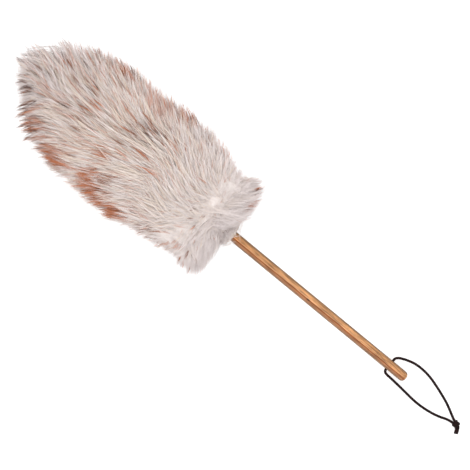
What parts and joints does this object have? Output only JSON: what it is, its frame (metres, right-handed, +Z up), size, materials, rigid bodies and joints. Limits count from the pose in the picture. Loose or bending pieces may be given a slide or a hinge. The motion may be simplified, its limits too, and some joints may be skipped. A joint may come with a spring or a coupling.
{
  "type": "lambswool duster",
  "caption": "Dusting brush with a plume of lambskin pile wound round a rod, a turned wooden handle and a knotted leather hanging thong.",
  "frame": {"origin": "on the surface that the duster lies on, under the middle of the handle and head", "axes": "+X along the handle to the butt and its loop, +Z up, +Y to the side where the wider leg of the loop lies"},
  "size_m": [0.6885, 0.156, 0.133],
  "materials": {
    "handle_wood": "clear lacquer over a light reddish tan hardwood, satin gloss",
    "core_wood": "bare, sanded",
    "tanned_hide": "alum tanned flesh side, matt",
    "wool_pile": "long natural white pile with red-brown and dark brown tips",
    "tack_steel": "blued",
    "thong_leather": "very dark brown, round, waxed"
  },
  "bodies": {
    "root": {"handle": "handle_wood", "head_core": "core_wood", "hide_strip": "tanned_hide", "wool": "wool_pile", "strip_tack_base": "tack_steel", "strip_tack_tip": "tack_steel"},
    "hanging_loop": {"thong_loop": "thong_leather", "thong_knot": "thong_leather"}
  },
  "joints": [
    {"name": "loop_swing", "type": "hinge", "parent": "root", "child": "hanging_loop", "pos_m": [0.27366, -0.00117, 0.00869], "axis": [0, 1, 0], "range_deg": [-168, 174]}
  ]
}
